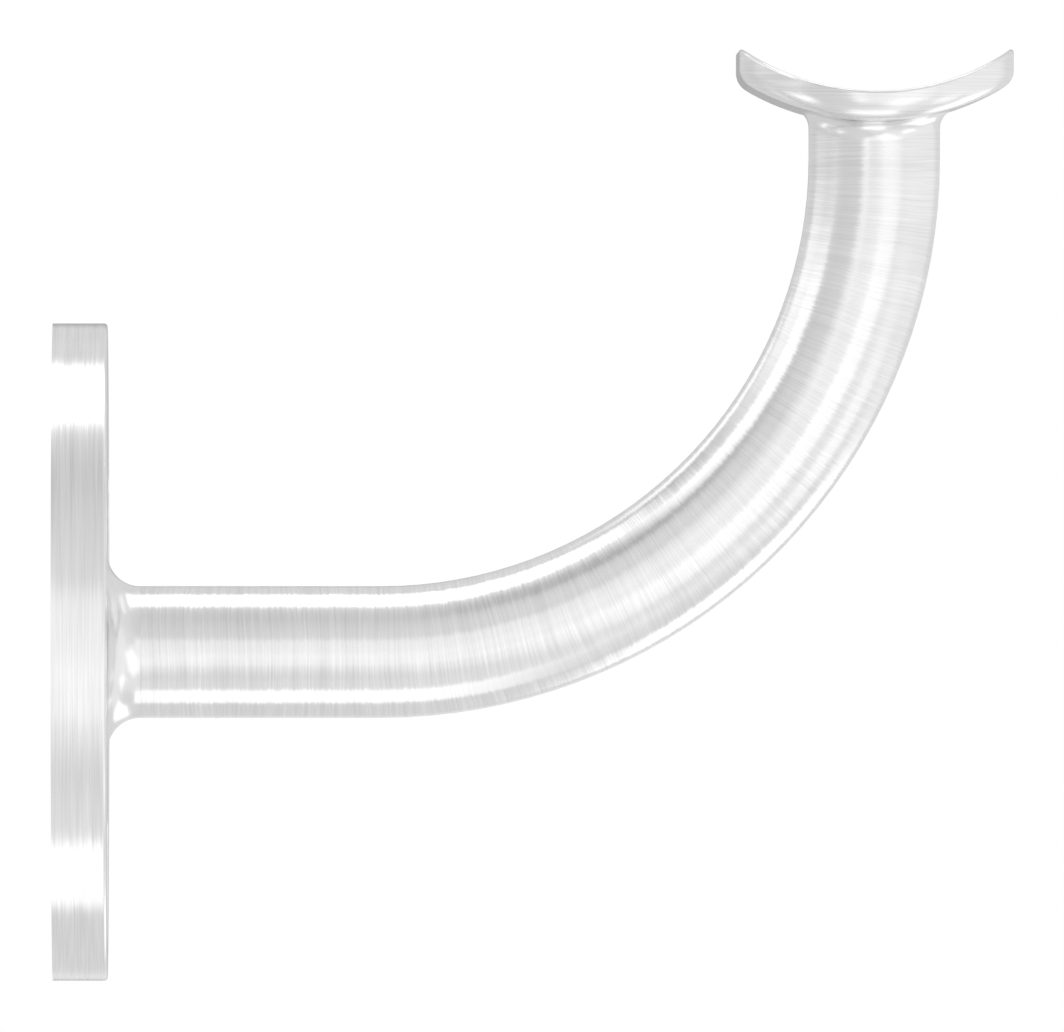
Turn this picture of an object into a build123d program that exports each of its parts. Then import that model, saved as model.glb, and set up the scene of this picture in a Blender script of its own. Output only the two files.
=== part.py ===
from build123d import *
import os

# Wall-mounted handrail bracket, welded from stainless bar and plate.
# Frame: the origin is the centre of the flange's back face, which lies on the wall.
# +X points out of the wall, +Y runs along the handrail and +Z is up. Sizes are in millimetres.

# Wall flange
FLANGE_DIAMETER = 60.0
FLANGE_THICKNESS = 5.0
FLANGE_EDGE_RADIUS = 0.3
WALL_SCREW_CIRCLE = 42.0
WALL_SCREW_HOLE = 6.5
WALL_SCREW_HEAD = 12.0
WALL_SCREW_ANGLES = (-90.0, 30.0, 150.0)

# Arm
ARM_DIAMETER = 12.0
BEND_RADIUS = 45.0
RAIL_FROM_WALL = 75.0
FLANGE_SPIGOT = 10.0
SADDLE_SPIGOT = 8.0

# Handrail tube that the saddle is bent to fit, and the height of its axis above the flange's
RAIL_DIAMETER = 42.4
RAIL_HEIGHT = 72.2

# Saddle
SADDLE_LENGTH = 60.0
SADDLE_WIDTH = 25.0
SADDLE_THICKNESS = 2.6
SADDLE_UNDER_RADIUS = 1.8
SADDLE_LIP_RADIUS = 0.25
RAIL_SCREW_SPACING = 42.0
RAIL_SCREW_HOLE = 5.3

# Welds
FLANGE_WELD_RADIUS = 3.0
BACK_WELD_DEPTH = 2.0
SADDLE_WELD_RADIUS = 1.8
SEAT_WELD_DEPTH = 1.2

# Sizes that follow from the ones above
ARM_RADIUS = ARM_DIAMETER / 2
BEND_START = RAIL_FROM_WALL - BEND_RADIUS
CRADLE_RADIUS = RAIL_DIAMETER / 2
UNDERSIDE_RADIUS = CRADLE_RADIUS + SADDLE_THICKNESS
CRADLE_BOTTOM = RAIL_HEIGHT - CRADLE_RADIUS
UNDERSIDE_BOTTOM = RAIL_HEIGHT - UNDERSIDE_RADIUS

# The saddle's blank stands this far above its lowest point, well above its tips
BLANK_HEIGHT = 10.0

# Two distances closer than this are the same distance
NO_GAP = 0.01


def bar_along_x(radius, start, end):
    """A round bar on the flange's axis, between two distances off the wall."""
    bar = Cylinder(radius, end - start, align=(Align.CENTER, Align.CENTER, Align.MIN))
    return Plane(origin=(start, 0, 0), z_dir=(1, 0, 0)) * bar


def bar_along_z(radius, start, end):
    """A round bar on the axis of the arm's upright end, between two heights."""
    bar = Cylinder(radius, end - start, align=(Align.CENTER, Align.CENTER, Align.MIN))
    return Pos(RAIL_FROM_WALL, 0, start) * bar


def rail_cylinder(radius):
    """A cylinder on the handrail's axis that runs well past both ends of the saddle."""
    return Pos(RAIL_FROM_WALL, 0, RAIL_HEIGHT) * Rot(90, 0, 0) * Cylinder(radius, 2 * SADDLE_LENGTH)


def ring_about_x(*points):
    """A straight-sided ring on the flange's axis, from (distance off the wall, radius) corners."""
    corners = [(x, 0, radius) for x, radius in points]
    return revolve(make_face(Polyline(*corners, close=True)), Axis.X)


def make_wall_flange(back_weld):
    """Round plate with a grooved hole for the arm's spigot and three countersunk screw holes."""
    plate = bar_along_x(FLANGE_DIAMETER / 2, 0, FLANGE_THICKNESS)
    front_edge = plate.edges().filter_by(GeomType.CIRCLE).sort_by(Axis.X)[-1]
    plate = fillet(front_edge, FLANGE_EDGE_RADIUS)
    plate -= bar_along_x(FLANGE_SPIGOT / 2, 0, FLANGE_THICKNESS)
    plate -= back_weld
    countersink_start = FLANGE_THICKNESS - (WALL_SCREW_HEAD - WALL_SCREW_HOLE) / 2
    screw_hole = bar_along_x(WALL_SCREW_HOLE / 2, 0, FLANGE_THICKNESS) + ring_about_x(
        (countersink_start, 0),
        (countersink_start, WALL_SCREW_HOLE / 2),
        (FLANGE_THICKNESS, WALL_SCREW_HEAD / 2),
        (FLANGE_THICKNESS, 0),
    )
    for angle in WALL_SCREW_ANGLES:
        plate -= Rot(angle, 0, 0) * Pos(0, WALL_SCREW_CIRCLE / 2, 0) * screw_hole
    return plate


def make_flange_back_weld():
    """Weld that fills the groove round the arm's spigot, faced off flush with the flange's back."""
    spigot_radius = FLANGE_SPIGOT / 2
    return ring_about_x(
        (0, spigot_radius),
        (0, spigot_radius + BACK_WELD_DEPTH),
        (BACK_WELD_DEPTH, spigot_radius),
    )


def make_flange_fillet_weld():
    """Coved weld bead between the flange's front face and the arm."""
    corner = (FLANGE_THICKNESS, 0, ARM_RADIUS)
    on_flange = (FLANGE_THICKNESS, 0, ARM_RADIUS + FLANGE_WELD_RADIUS)
    on_arm = (FLANGE_THICKNESS + FLANGE_WELD_RADIUS, 0, ARM_RADIUS)
    cove = TangentArc(on_flange, on_arm, tangent=(0, 0, -1))
    section = make_face([Line(corner, on_flange), cove, Line(on_arm, corner)])
    return revolve(section, Axis.X)


def make_bent_bar():
    """Bent round bar from the flange's front face up to the saddle, coped to its underside."""
    level_start = (FLANGE_THICKNESS, 0, 0)
    bend_start = (BEND_START, 0, 0)
    bend_end = (RAIL_FROM_WALL, 0, BEND_RADIUS)
    upright_end = (RAIL_FROM_WALL, 0, CRADLE_BOTTOM)
    level = Line(level_start, bend_start)
    bend = TangentArc(bend_start, bend_end, tangent=(1, 0, 0))
    upright = Line(bend_end, upright_end)
    section = Plane(origin=level_start, z_dir=(1, 0, 0)) * Circle(ARM_RADIUS)
    return sweep(section, path=Wire([level, bend, upright])) - rail_cylinder(UNDERSIDE_RADIUS)


def make_arm(bent_bar):
    """The bent bar with a turned spigot on each end, through the flange and through the saddle."""
    flange_spigot = bar_along_x(FLANGE_SPIGOT / 2, 0, FLANGE_THICKNESS)
    saddle_spigot = bar_along_z(SADDLE_SPIGOT / 2, BEND_RADIUS, RAIL_HEIGHT)
    return bent_bar + flange_spigot + (saddle_spigot - rail_cylinder(CRADLE_RADIUS))


def make_curved_plate():
    """Round-ended plate bent to the handrail's radius, rounded below and eased round its lip."""
    outline = SlotOverall(SADDLE_LENGTH, SADDLE_WIDTH, rotation=90)
    blank = Pos(RAIL_FROM_WALL, 0, UNDERSIDE_BOTTOM) * extrude(outline, BLANK_HEIGHT)
    blank &= rail_cylinder(UNDERSIDE_RADIUS)
    plate = fillet(blank.edges().filter_by(is_under_edge), SADDLE_UNDER_RADIUS)
    plate -= rail_cylinder(CRADLE_RADIUS)
    return fillet(plate.edges().filter_by(is_lip_edge), SADDLE_LIP_RADIUS)


def distance_from_rail(edge):
    """The distance from the handrail's axis to the middle of an edge."""
    point = edge @ 0.5
    return ((point.X - RAIL_FROM_WALL) ** 2 + (point.Z - RAIL_HEIGHT) ** 2) ** 0.5


def is_under_edge(edge):
    """True for an edge that lies on the saddle's underside."""
    return abs(distance_from_rail(edge) - UNDERSIDE_RADIUS) < NO_GAP


def is_lip_edge(edge):
    """True for an edge that lies on the cradle's surface."""
    return abs(distance_from_rail(edge) - CRADLE_RADIUS) < NO_GAP


def make_saddle_plate(curved_plate, seat_weld):
    """The curved plate with two rail screw holes and a grooved hole for the arm's spigot."""
    plate = curved_plate - bar_along_z(SADDLE_SPIGOT / 2, BEND_RADIUS, RAIL_HEIGHT) - seat_weld
    screw_hole = bar_along_z(RAIL_SCREW_HOLE / 2, BEND_RADIUS, RAIL_HEIGHT)
    for side in (-1, 1):
        plate -= Pos(0, side * RAIL_SCREW_SPACING / 2, 0) * screw_hole
    return plate


def make_saddle_seat_weld():
    """Weld that fills the groove round the arm's spigot, dressed to the curve of the cradle."""
    root_radius = SADDLE_SPIGOT / 2
    groove = Cone(
        root_radius,
        root_radius + SADDLE_THICKNESS,
        SADDLE_THICKNESS,
        align=(Align.CENTER, Align.CENTER, Align.MIN),
    )
    groove = Pos(RAIL_FROM_WALL, 0, CRADLE_BOTTOM - SEAT_WELD_DEPTH) * groove
    spigot = bar_along_z(root_radius, BEND_RADIUS, RAIL_HEIGHT)
    return groove - spigot - rail_cylinder(CRADLE_RADIUS)


def make_saddle_fillet_weld(bent_bar, curved_plate):
    """Coved weld bead round the arm's upper end, against the saddle's underside."""
    joined = bent_bar + curved_plate
    beaded = fillet(joined.edges().filter_by(is_neck_edge), SADDLE_WELD_RADIUS)
    return beaded - bent_bar - curved_plate


def is_neck_edge(edge):
    """True for the closed curve where the arm's outside meets the saddle's underside."""
    point = edge @ 0.5
    from_arm = ((point.X - RAIL_FROM_WALL) ** 2 + point.Y**2) ** 0.5
    return abs(from_arm - ARM_RADIUS) < NO_GAP and is_under_edge(edge)


def make_parts():
    """Every sub-part of the bracket by name."""
    flange_back_weld = make_flange_back_weld()
    saddle_seat_weld = make_saddle_seat_weld()
    bent_bar = make_bent_bar()
    curved_plate = make_curved_plate()
    return {
        "wall_flange": make_wall_flange(flange_back_weld),
        "flange_back_weld": flange_back_weld,
        "flange_fillet_weld": make_flange_fillet_weld(),
        "arm": make_arm(bent_bar),
        "saddle_fillet_weld": make_saddle_fillet_weld(bent_bar, curved_plate),
        "saddle_plate": make_saddle_plate(curved_plate, saddle_seat_weld),
        "saddle_seat_weld": saddle_seat_weld,
    }


os.makedirs("parts", exist_ok=True)
for name, part in make_parts().items():
    export_step(part, f"parts/{name}.step")
    print(name, "volume", round(part.volume, 1), "mm3")
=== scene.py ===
import math

import bpy
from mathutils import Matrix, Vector


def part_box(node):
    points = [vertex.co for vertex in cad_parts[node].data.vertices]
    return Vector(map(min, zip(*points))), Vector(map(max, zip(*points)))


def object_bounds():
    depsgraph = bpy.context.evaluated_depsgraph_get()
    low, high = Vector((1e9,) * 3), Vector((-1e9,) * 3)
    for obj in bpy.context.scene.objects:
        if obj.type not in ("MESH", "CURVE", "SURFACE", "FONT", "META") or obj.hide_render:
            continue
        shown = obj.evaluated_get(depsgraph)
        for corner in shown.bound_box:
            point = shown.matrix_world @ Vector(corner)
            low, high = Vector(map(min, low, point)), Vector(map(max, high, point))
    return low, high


# A wall handrail bracket in brushed stainless steel, against a white studio background.
# The frame is the CAD one: +X out of the wall, +Y along the handrail, +Z up, in metres.
# Lengths inside the materials are in millimetres.

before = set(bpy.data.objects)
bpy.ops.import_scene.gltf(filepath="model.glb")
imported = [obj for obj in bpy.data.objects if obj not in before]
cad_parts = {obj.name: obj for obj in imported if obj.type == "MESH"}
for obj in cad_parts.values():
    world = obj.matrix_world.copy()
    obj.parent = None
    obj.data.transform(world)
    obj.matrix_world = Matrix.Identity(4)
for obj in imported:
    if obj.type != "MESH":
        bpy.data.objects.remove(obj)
cad_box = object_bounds()
LOW, HIGH = cad_box
CENTRE = (LOW + HIGH) / 2

# Millimetres in a metre
MM = 1000.0

OFF_WALL = (1, 0, 0)
ALONG_RAIL = (0, 1, 0)
UP = (0, 0, 1)
WHITE = (1.0, 1.0, 1.0, 1.0)

# The arm's upright end stands at UPRIGHT_X, and its bend is struck from BEND_START_X
ARM_LOW, ARM_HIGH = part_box("arm")
ARM_RADIUS = (ARM_HIGH.y - ARM_LOW.y) / 2
UPRIGHT_X = ARM_HIGH.x - ARM_RADIUS
BEND_RADIUS = 0.045
BEND_START_X = UPRIGHT_X - BEND_RADIUS

# SADDLE_STRAIGHT is half the length of the straight sides of the saddle's round-ended outline
SADDLE_LOW, SADDLE_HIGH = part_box("saddle_plate")
SADDLE_STRAIGHT = (SADDLE_HIGH.y - SADDLE_LOW.y - SADDLE_HIGH.x + SADDLE_LOW.x) / 2


# ---------------------------------------------------------------- node helper

# Noise swings about this mean, and mostly stays this close to it
NOISE_MEAN = 0.5
NOISE_REACH = 0.25


class Graph:
    """A node tree, emptied, with one short call for each kind of node."""

    def __init__(self, tree):
        self.tree = tree
        tree.nodes.clear()

    def feed(self, socket, value):
        """Links a node's output into a socket, or sets the socket to a plain value."""
        if isinstance(value, bpy.types.NodeSocket):
            self.tree.links.new(value, socket)
        elif value is not None:
            socket.default_value = value

    def math(self, operation, a, b=None):
        """Blender's Math node: one operation on one or two numbers."""
        node = self.tree.nodes.new("ShaderNodeMath")
        node.operation = operation
        self.feed(node.inputs[0], a)
        self.feed(node.inputs[1], b)
        return node.outputs[0]

    def add(self, first, *others):
        """Two or more numbers added up."""
        total = first
        for other in others:
            total = self.math("ADD", total, other)
        return total

    def positive(self, value):
        """The value, or 0 where it is below 0."""
        return self.math("MAXIMUM", value, 0)

    def vector(self, operation, a, b=None):
        """Blender's Vector Math node. The second operand of SCALE is a number."""
        node = self.tree.nodes.new("ShaderNodeVectorMath")
        node.operation = operation
        second = "Scale" if operation == "SCALE" else 1
        result = "Value" if operation in ("DOT_PRODUCT", "LENGTH") else "Vector"
        self.feed(node.inputs[0], a)
        self.feed(node.inputs[second], b)
        return node.outputs[result]

    def combine(self, x, y, z):
        """Three numbers made into a vector."""
        node = self.tree.nodes.new("ShaderNodeCombineXYZ")
        for socket, value in zip(node.inputs, (x, y, z)):
            self.feed(socket, value)
        return node.outputs[0]

    def separate(self, vector):
        """A vector taken apart into three numbers."""
        node = self.tree.nodes.new("ShaderNodeSeparateXYZ")
        self.feed(node.inputs[0], vector)
        return node.outputs[:]

    def grey(self, value):
        """A vector or colour with one value in all three places."""
        return self.combine(value, value, value)

    def place(self):
        """The point on the surface, in millimetres in the shared frame."""
        node = self.tree.nodes.new("ShaderNodeTexCoord")
        return self.vector("SCALE", node.outputs["Object"], MM)

    def normal(self):
        """The surface's own normal, before any bumps."""
        return self.tree.nodes.new("ShaderNodeNewGeometry").outputs["Normal"]

    def noise(self, vector, detail):
        """Noise with features about one unit across, and finer ones for each step of detail."""
        node = self.tree.nodes.new("ShaderNodeTexNoise")
        node.inputs["Scale"].default_value = 1.0
        node.inputs["Detail"].default_value = detail
        self.feed(node.inputs["Vector"], vector)
        return node.outputs["Fac"]

    def around(self, noise, size):
        """Noise moved to lie around 0, with a swing of about plus or minus size."""
        centred = self.math("SUBTRACT", noise, NOISE_MEAN)
        return self.math("MULTIPLY", centred, size / NOISE_REACH)

    def step(self, value, start, end):
        """A smooth step from 0 at start to 1 at end."""
        node = self.tree.nodes.new("ShaderNodeMapRange")
        node.interpolation_type = "SMOOTHSTEP"
        self.feed(node.inputs["Value"], value)
        node.inputs["From Min"].default_value = start
        node.inputs["From Max"].default_value = end
        return node.outputs["Result"]

    def within(self, value, half_width, softness):
        """1 where value is inside half_width, falling to 0 across its edge."""
        outside = self.step(value, half_width - softness, half_width + softness)
        return self.math("SUBTRACT", 1.0, outside)

    def mix(self, factor, a, b):
        """Vector mix: a where factor is 0, b where it is 1."""
        node = self.tree.nodes.new("ShaderNodeMix")
        node.data_type = "VECTOR"
        # A Mix node has sockets for every type of data. Inputs 4 and 5 and output 1 are vectors.
        self.feed(node.inputs[0], factor)
        self.feed(node.inputs[4], a)
        self.feed(node.inputs[5], b)
        return node.outputs[1]


class Paint(Graph):
    """A new material's graph, with its Principled shader."""

    def __init__(self, name):
        self.material = bpy.data.materials.new(name)
        self.material.use_nodes = True
        super().__init__(self.material.node_tree)
        self.shader = self.tree.nodes.new("ShaderNodeBsdfPrincipled")
        output = self.tree.nodes.new("ShaderNodeOutputMaterial")
        self.tree.links.new(self.shader.outputs["BSDF"], output.inputs["Surface"])

    def set(self, **values):
        """Feeds the shader's inputs, which are named here in lower case with underscores."""
        sockets = {socket.name.lower().replace(" ", "_"): socket for socket in self.shader.inputs}
        for name, value in values.items():
            self.feed(sockets[name], value)

    def bump(self, height, depth, strength=1.0, normal=None):
        """The surface's normal over bumps that are depth millimetres deep."""
        node = self.tree.nodes.new("ShaderNodeBump")
        node.inputs["Strength"].default_value = strength
        node.inputs["Distance"].default_value = depth / MM
        self.feed(node.inputs["Height"], height)
        self.feed(node.inputs["Normal"], normal)
        return node.outputs["Normal"]


# ---------------------------------------------------------------- brushed steel

STEEL_TONE = 0.86
STEEL_ROUGHNESS = 0.26
STEEL_ANISOTROPY = 0.8

# The brushing is four layers of noise drawn out along the lines: fine lines, wider bands, broad
# swaths, and leans that tip the fine lines lengthwise. This is how often each one changes across
# the lines, and how often they all change along them.
LINES_PER_MM = 6.0
BANDS_PER_MM = 1.8
SWATHS_PER_MM = 0.5
CHANGE_PER_MM = 0.1

# Where in the noise each layer lies, so that no two are alike
LINES_SEED = 0.0
BANDS_SEED = 7.0
SWATHS_SEED = 13.0
LEANS_SEED = 29.0

# How far each layer moves the tone, and how far the bands move the roughness
LINES_SHADE = 0.05
BANDS_SHADE = 0.022
SWATHS_SHADE = 0.010
BANDS_ROUGHNESS = 0.015

# How far the layers tip the surface, in radians: across the lines, and along them
LINES_TILT = 0.022
BANDS_TILT = 0.006
LEANS_TILT = 0.015
RING_LEANS_TILT = 0.012

# The fine lines' depth in mm, and how strongly they show as bumps
LINES_DEPTH = 0.004
LINES_BUMP = 0.3

# The arm's lines waver this far, in mm, and change this many times each mm along the arm
WAVER = 0.3
WAVERS_PER_MM = 0.09

# Every ring on the flange changes along itself as often as one of this radius, in mm
RING_RADIUS = 30.0

# The saddle's lines run lengthwise where its surface faces up or down. Across these sizes of the
# normal's upright part they give way to lines round the edge.
EDGE_UPNESS = 0.93
BROAD_UPNESS = 0.95


def brush_noise(graph, across, path, per_mm, seed, detail=0.0):
    """Noise in long lines: it changes per_mm times each mm across them, and slowly along them."""
    sideways = graph.combine(graph.math("MULTIPLY", across, per_mm), seed, 0)
    lengthwise = graph.vector("SCALE", path, CHANGE_PER_MM)
    return graph.noise(graph.vector("ADD", lengthwise, sideways), detail)


def brushed_steel(graph, across, path, along, leans_tilt=LEANS_TILT):
    """Finishes a graph as brushed steel.

    across: how far across the brush lines the point is, in mm.
    path: a vector that changes along the lines, in mm.
    along: the unit direction of the brush lines on the surface.
    leans_tilt: how far, in radians, the leans tip the surface along the lines.
    """
    normal = graph.normal()
    crosswise = graph.vector("CROSS_PRODUCT", normal, along)
    lines = brush_noise(graph, across, path, LINES_PER_MM, LINES_SEED, detail=1.0)
    bands = brush_noise(graph, across, path, BANDS_PER_MM, BANDS_SEED)
    swaths = brush_noise(graph, across, path, SWATHS_PER_MM, SWATHS_SEED)
    leans = brush_noise(graph, across, path, LINES_PER_MM, LEANS_SEED)

    tone = graph.add(
        graph.around(lines, LINES_SHADE),
        graph.around(bands, BANDS_SHADE),
        graph.around(swaths, SWATHS_SHADE),
        STEEL_TONE,
    )
    lean = graph.vector("SCALE", along, graph.around(leans, leans_tilt))
    tilt = graph.add(graph.around(bands, BANDS_TILT), graph.around(lines, LINES_TILT))
    leaning = graph.vector("ADD", lean, graph.vector("SCALE", crosswise, tilt))
    scratched = graph.vector("NORMALIZE", graph.vector("ADD", normal, leaning))
    graph.set(
        base_color=graph.grey(tone),
        metallic=1.0,
        roughness=graph.add(graph.around(bands, BANDS_ROUGHNESS), STEEL_ROUGHNESS),
        anisotropic=STEEL_ANISOTROPY,
        tangent=crosswise,
        normal=graph.bump(lines, LINES_DEPTH, LINES_BUMP, scratched),
    )
    return graph.material


def arm_steel():
    """Bar brushed round its axis, from end to end and on the end faces."""
    graph = Paint("arm_steel")
    x, y, z = graph.separate(graph.place())

    # The bend turns about a line above the arm's level part. How far round it the point lies is
    # 0 all along the level part and a right angle all along the upright one.
    out = graph.positive(graph.math("SUBTRACT", x, BEND_START_X * MM))
    down = graph.positive(graph.math("SUBTRACT", BEND_RADIUS * MM, z))
    turn = graph.math("ARCTAN2", out, down)

    # How far the point is from the bar's axis towards the inside of the bend, and along the bar
    reach = graph.vector("LENGTH", graph.combine(out, 0, down))
    inward = graph.math("SUBTRACT", BEND_RADIUS * MM, reach)
    before = graph.math("MINIMUM", x, BEND_START_X * MM)
    after = graph.positive(graph.math("SUBTRACT", z, BEND_RADIUS * MM))
    length = graph.add(graph.math("MULTIPLY", turn, BEND_RADIUS * MM), graph.add(before, after))

    # Distance from the axis tells one line from the next on the end faces
    from_axis = graph.vector("LENGTH", graph.combine(0, y, inward))
    in_bar = graph.vector("SCALE", graph.combine(length, y, inward), WAVERS_PER_MM)
    waver = graph.around(graph.noise(in_bar, detail=1.0), WAVER)
    across = graph.add(length, from_axis, waver)

    # The direction round the axis, at a right angle to the point's place off it
    sideways = graph.math("MULTIPLY", graph.math("SINE", turn), y)
    upwards = graph.math("MULTIPLY", graph.math("COSINE", turn), y)
    rise = graph.combine(0, 0, upwards)
    round_axis = graph.vector("SUBTRACT", rise, graph.combine(sideways, inward, 0))
    along = graph.vector("NORMALIZE", round_axis)
    return brushed_steel(graph, across, graph.combine(0, y, inward), along)


def flange_steel():
    """Plate finished in rings about the flange's axis, on its rim and on its faces."""
    graph = Paint("flange_steel")
    x, y, z = graph.separate(graph.place())
    spoke = graph.combine(0, y, z)
    outward = graph.vector("NORMALIZE", spoke)
    along = graph.vector("CROSS_PRODUCT", OFF_WALL, outward)

    # Rings are told apart by distance off the wall on the rim, and by radius on the faces
    across = graph.math("SUBTRACT", x, graph.vector("LENGTH", spoke))
    path = graph.vector("SCALE", outward, RING_RADIUS)
    return brushed_steel(graph, across, path, along, RING_LEANS_TILT)


def saddle_steel():
    """Plate brushed along its length above and below, and round its outline on the edge."""
    graph = Paint("saddle_steel")
    place = graph.place()
    x, y, z = graph.separate(place)
    normal = graph.normal()
    _, _, upness = graph.separate(normal)
    broad = graph.step(graph.math("ABSOLUTE", upness), EDGE_UPNESS, BROAD_UPNESS)
    round_edge = graph.vector("CROSS_PRODUCT", UP, normal)
    along = graph.vector("NORMALIZE", graph.mix(broad, round_edge, ALONG_RAIL))

    # Lines round the edge are told apart by height and by distance from the outline's middle line
    past_straight = graph.math("SUBTRACT", graph.math("ABSOLUTE", y), SADDLE_STRAIGHT * MM)
    off_middle = graph.math("SUBTRACT", x, UPRIGHT_X * MM)
    from_middle = graph.combine(off_middle, graph.positive(past_straight), 0)
    down_edge = graph.add(graph.vector("LENGTH", from_middle), z)
    across, _, _ = graph.separate(graph.mix(broad, graph.grey(down_edge), graph.grey(x)))
    return brushed_steel(graph, across, place, along)


# ---------------------------------------------------------------- welds

BLOTCHES_PER_MM = 0.6
RIPPLES_PER_MM = 0.45
SPECKS_PER_MM = 9.0

# How far the blotches and specks move the tone and the roughness
BLOTCHES_SHADE = 0.03
SPECKS_SHADE = 0.012
BLOTCHES_ROUGHNESS = 0.04
SPECKS_ROUGHNESS = 0.03

# The specks' depth in mm, and how strongly they show as bumps
SPECKS_DEPTH = 0.004
SPECKS_BUMP = 0.6

# The outside beads are blended to a satin, and the hidden welds are ground flush and duller
BEAD_LOOK = dict(tone=STEEL_TONE, ripple_depth=0.09, roughness=0.22)
GROUND_LOOK = dict(tone=0.74, ripple_depth=0.01, roughness=0.3)
WELD_LOOKS = {
    "flange_fillet_weld": BEAD_LOOK,
    "saddle_fillet_weld": BEAD_LOOK,
    "flange_back_weld": GROUND_LOOK,
    "saddle_seat_weld": GROUND_LOOK,
}


def weld_steel(name, tone, ripple_depth, roughness):
    """Steel with low ripples, ripple_depth millimetres deep, faint blotches and fine specks."""
    graph = Paint(name)
    place = graph.place()
    blotches = graph.noise(graph.vector("SCALE", place, BLOTCHES_PER_MM), detail=3.0)
    ripples = graph.noise(graph.vector("SCALE", place, RIPPLES_PER_MM), detail=1.0)
    specks = graph.noise(graph.vector("SCALE", place, SPECKS_PER_MM), detail=2.0)
    shade = graph.add(
        graph.around(blotches, BLOTCHES_SHADE),
        graph.around(specks, SPECKS_SHADE),
        tone,
    )
    gloss = graph.add(
        graph.around(specks, SPECKS_ROUGHNESS),
        graph.around(blotches, BLOTCHES_ROUGHNESS),
        roughness,
    )
    rippled = graph.bump(ripples, ripple_depth)
    graph.set(
        base_color=graph.grey(shade),
        metallic=1.0,
        roughness=gloss,
        normal=graph.bump(specks, SPECKS_DEPTH, SPECKS_BUMP, rippled),
    )
    return graph.material


def dress(node, material):
    """Gives a CAD piece its one material."""
    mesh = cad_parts[node].data
    mesh.materials.clear()
    mesh.materials.append(material)


dress("wall_flange", flange_steel())
dress("arm", arm_steel())
dress("saddle_plate", saddle_steel())
for weld, look in WELD_LOOKS.items():
    dress(weld, weld_steel(weld + "_steel", **look))


# ---------------------------------------------------------------- studio

FLOOR_DROP = 0.015
FLOOR_RADIUS = 0.35
FLOOR_CORNERS = 128
FLOOR_TONE = 0.9
FLOOR_GLOW = 0.15
FLOOR_ROUGHNESS = 0.9

# The floor fades out between these parts of its radius
FADE_START = 0.35
FADE_END = 0.98


def make_floor():
    """A pale round floor below the bracket that fades out into the white background."""
    bpy.ops.mesh.primitive_circle_add(
        vertices=FLOOR_CORNERS,
        radius=FLOOR_RADIUS,
        fill_type="NGON",
        location=(CENTRE.x, CENTRE.y, LOW.z - FLOOR_DROP),
    )
    floor = bpy.context.object
    floor.name = "floor"
    paint = Paint("floor_paint")
    from_middle = paint.vector("LENGTH", paint.place())
    fade = paint.step(from_middle, FADE_START * FLOOR_RADIUS * MM, FADE_END * FLOOR_RADIUS * MM)
    paint.set(
        base_color=(FLOOR_TONE, FLOOR_TONE, FLOOR_TONE, 1.0),
        roughness=FLOOR_ROUGHNESS,
        specular_ior_level=0.0,
        emission_color=WHITE,
        emission_strength=FLOOR_GLOW,
        alpha=paint.math("SUBTRACT", 1.0, fade),
    )
    floor.data.materials.append(paint.material)
    floor.visible_glossy = False


# The tent's middle brightness, how much it gains towards +X, +Y and +Z, and the brightness of the
# backdrop that the camera sees
TENT_BRIGHTNESS = 0.755
TENT_SLOPE = (0.07, -0.035, -0.025)
BACKDROP_BRIGHTNESS = 1.0

# The cards hang in a pale tent round the bracket. Each is seen from the bracket at `roll` degrees
# round the Y axis from straight up (90 is towards the wall, 180 is below, 270 is away from the
# wall), and at `polar` degrees from the front. Its width runs round the roll, its depth along the
# polar angle, and softness is how far its edge fades, all in degrees. White cards add light,
# and black ones, with a brightness below 0, take it away.
CARDS = {
    "overhead": dict(roll=3, polar=105, width=61, depth=34, softness=2, brightness=0.85),
    "over_back": dict(roll=12, polar=136, width=14, depth=10, softness=5, brightness=0.12),
    "front": dict(roll=190, polar=1, width=44, depth=46, softness=3, brightness=0.24),
    "below": dict(roll=178, polar=86, width=32, depth=31, softness=2, brightness=0.58),
    "upper_left": dict(roll=58, polar=81, width=40, depth=26, softness=3, brightness=0.65),
    "upper_fill": dict(roll=33, polar=40, width=34, depth=18, softness=6, brightness=0.07),
    "upper_black": dict(roll=33, polar=67, width=38, depth=20, softness=4, brightness=-0.28),
    "upper_grey": dict(roll=350, polar=56, width=36, depth=44, softness=8, brightness=-0.05),
    "upper_back": dict(roll=50, polar=136, width=24, depth=14, softness=4, brightness=0.6),
    "upper_right": dict(roll=316, polar=103, width=10, depth=34, softness=4, brightness=0.35),
    "left_back": dict(roll=71, polar=109, width=23, depth=30, softness=6, brightness=0.54),
    "left_low": dict(roll=120, polar=94, width=18, depth=50, softness=5, brightness=0.85),
    "left_low_front": dict(roll=116, polar=16, width=10, depth=9, softness=3, brightness=0.5),
    "lower_back": dict(roll=220, polar=126, width=26, depth=34, softness=3, brightness=0.66),
    "lower_front": dict(roll=238, polar=33, width=48, depth=28, softness=5, brightness=0.42),
    "lower_side": dict(roll=236, polar=79, width=15, depth=24, softness=5, brightness=0.45),
    "lower_fill": dict(roll=205, polar=62, width=60, depth=30, softness=8, brightness=0.1),
    "right_fill": dict(roll=268, polar=92, width=61, depth=87, softness=10, brightness=0.14),
    "behind_low": dict(roll=195, polar=162, width=16, depth=14, softness=4, brightness=0.12),
    "back_black": dict(roll=41, polar=115, width=10, depth=20, softness=4, brightness=-0.28),
    "behind_black": dict(roll=50, polar=177, width=30, depth=17, softness=5, brightness=-0.3),
}


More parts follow.
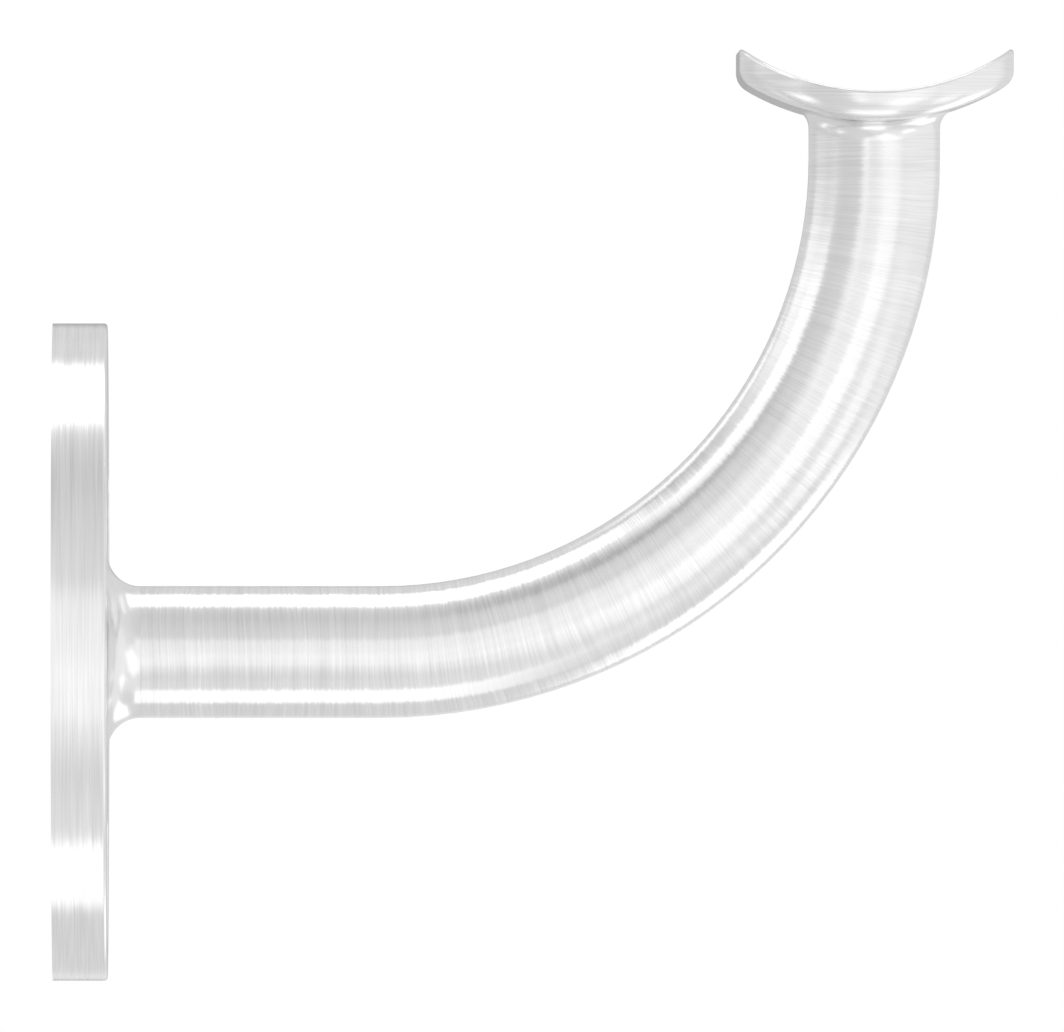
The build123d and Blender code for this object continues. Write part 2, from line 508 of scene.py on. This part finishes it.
def card_light(graph, direction, roll, polar, width, depth, softness, brightness):
    """A card's light from every direction: brightness inside the card, and 0 round it."""
    roll, polar = math.radians(roll), math.radians(polar)
    off_front = math.sin(polar)
    middle = Vector((-off_front * math.sin(roll), -math.cos(polar), off_front * math.cos(roll)))
    sideways = Vector(ALONG_RAIL).cross(middle).normalized()
    ahead = graph.vector("DOT_PRODUCT", direction, middle)
    light = brightness
    for axis, size in ((sideways, width), (middle.cross(sideways), depth)):
        aside = graph.math("ABSOLUTE", graph.vector("DOT_PRODUCT", direction, axis))
        angle = graph.math("ARCTAN2", aside, ahead)
        inside = graph.within(angle, math.radians(size / 2), math.radians(softness))
        light = graph.math("MULTIPLY", inside, light)
    return light


def make_world():
    """The pale tent with its cards, and a white backdrop that only the camera sees."""
    world = bpy.data.worlds.new("studio")
    bpy.context.scene.world = world
    world.use_nodes = True
    graph = Graph(world.node_tree)
    direction = graph.tree.nodes.new("ShaderNodeTexCoord").outputs["Generated"]
    slope = graph.vector("DOT_PRODUCT", direction, TENT_SLOPE)
    cards = [card_light(graph, direction, **card) for card in CARDS.values()]
    light = graph.add(slope, TENT_BRIGHTNESS, *cards)
    choose = graph.tree.nodes.new("ShaderNodeMixShader")
    is_camera = graph.tree.nodes.new("ShaderNodeLightPath").outputs["Is Camera Ray"]
    graph.feed(choose.inputs[0], is_camera)
    for socket, strength in zip(choose.inputs[1:], (light, BACKDROP_BRIGHTNESS)):
        background = graph.tree.nodes.new("ShaderNodeBackground")
        background.inputs["Color"].default_value = WHITE
        graph.feed(background.inputs["Strength"], strength)
        graph.feed(socket, background.outputs[0])
    output = graph.tree.nodes.new("ShaderNodeOutputWorld")
    graph.feed(output.inputs["Surface"], choose.outputs[0])


# The part of the picture's width that the bracket fills, the lens and its sensor in mm, and how
# many degrees the camera stands round the bracket from straight in front
FRAME_FILL = 0.9007
LENS = 1600.0
SENSOR_WIDTH = 36.0
CAMERA_TURN = -0.18

# The camera sees from the first of these parts of its distance from the bracket to the second
CLIP_NEAR = 0.1
CLIP_FAR = 2.0


def make_camera():
    """A very long lens level with the bracket, looking along the handrail."""
    camera = bpy.data.cameras.new("camera")
    camera.sensor_width = SENSOR_WIDTH
    camera.lens = LENS
    frame_width = (HIGH.x - LOW.x) / FRAME_FILL
    distance = frame_width * LENS / SENSOR_WIDTH
    camera.clip_start = CLIP_NEAR * distance
    camera.clip_end = CLIP_FAR * distance
    stand = bpy.data.objects.new("camera", camera)
    bpy.context.scene.collection.objects.link(stand)
    turn = math.radians(CAMERA_TURN)
    back = Vector((math.sin(turn), -math.cos(turn), 0))
    stand.location = CENTRE + back * distance
    stand.rotation_euler = (-back).to_track_quat("-Z", "Y").to_euler()
    bpy.context.scene.camera = stand


make_world()
make_floor()
make_camera()
bpy.context.scene.view_settings.view_transform = "Standard"
